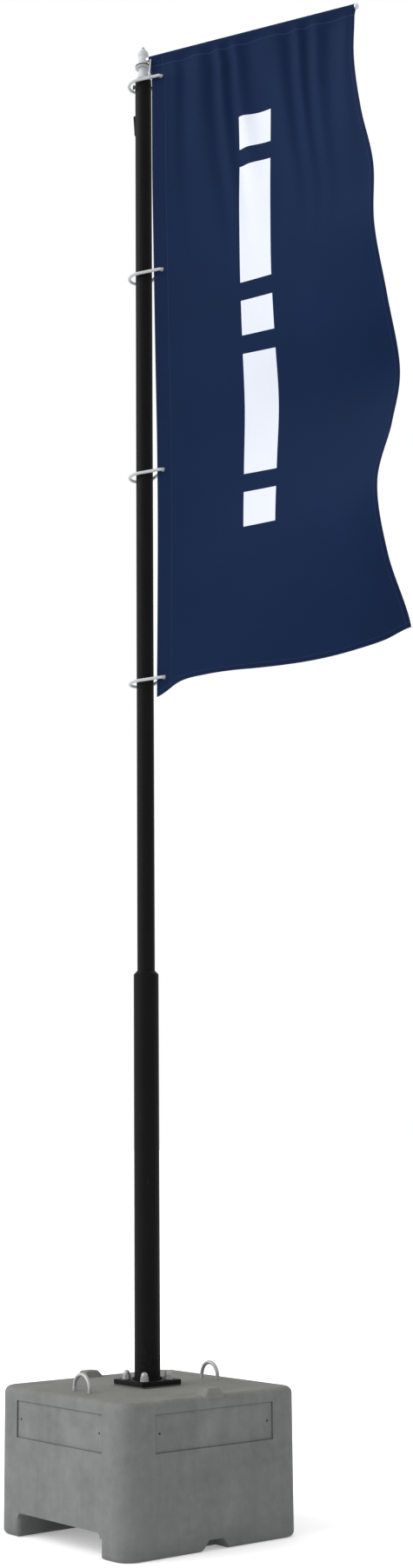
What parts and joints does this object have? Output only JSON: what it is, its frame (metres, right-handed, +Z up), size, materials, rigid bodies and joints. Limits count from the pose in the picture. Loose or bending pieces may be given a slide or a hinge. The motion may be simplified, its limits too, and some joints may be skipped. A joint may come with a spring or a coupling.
{
  "type": "mobile flagpole",
  "caption": "Stepped steel mast bolted to a concrete ballast block, with a turning head, a boom and a tall banner flag on rings.",
  "frame": {"origin": "on the mast's axis at ground level, in the middle of the fork channel", "axes": "+Z up the mast; +Y along the fork channel; the stacking lugs stand on the -X and +X edges"},
  "size_m": [1.615, 1.0567, 6.6635],
  "materials": {
    "concrete": "cast, matt, lightly mottled",
    "galvanised_steel": "hot-dip galvanised",
    "plug_plastic": "matt",
    "black_paint": "satin black powder coat",
    "black_plastic": "satin",
    "white_plastic": "satin white",
    "dark_rubber": "matt",
    "dark_steel": "dull",
    "boom_aluminium": "satin",
    "cap_plastic": "satin",
    "flag_cloth": "knitted polyester, matt navy"
  },
  "bodies": {
    "mast": {"ballast_block": "concrete", "lifting_loop_front": "galvanised_steel", "lifting_loop_rear": "galvanised_steel", "sign_plugs_front": "plug_plastic", "sign_plugs_rear": "plug_plastic", "sign_plugs_right": "plug_plastic", "sign_plugs_left": "plug_plastic", "base_plate": "black_paint", "foot_weld": "black_paint", "anchor_stud_1": "galvanised_steel", "anchor_stud_2": "galvanised_steel", "anchor_stud_3": "galvanised_steel", "anchor_stud_4": "galvanised_steel", "anchor_washer_1": "galvanised_steel", "anchor_washer_2": "galvanised_steel", "anchor_washer_3": "galvanised_steel", "anchor_washer_4": "galvanised_steel", "anchor_nut_1": "galvanised_steel", "anchor_nut_2": "galvanised_steel", "anchor_nut_3": "galvanised_steel", "anchor_nut_4": "galvanised_steel", "lower_mast_tube": "black_paint", "step_collar": "black_paint", "upper_mast_tube": "black_paint", "halyard_outlet": "black_paint", "clamp_knob": "black_plastic", "mast_top_collar": "white_plastic", "head_post": "white_plastic"},
    "turning_head": {"turning_disc": "white_plastic", "disc_rim": "dark_rubber", "boom_hub": "white_plastic", "cap_cone": "white_plastic", "cap_screw": "dark_steel", "boom_tube": "boom_aluminium", "boom_tip_cap": "cap_plastic", "corner_strap": "white_plastic", "flag_hem": "flag_cloth", "flag_band": "flag_cloth", "flag": "flag_cloth", "flag_ring_1": "white_plastic", "flag_ring_2": "white_plastic", "flag_ring_3": "white_plastic", "flag_ring_4": "white_plastic"}
  },
  "joints": [
    {"name": "head_turn", "type": "hinge", "parent": "mast", "child": "turning_head", "pos_m": [0, 0, 6.554], "axis": [0, 0, 1], "continuous": true}
  ]
}
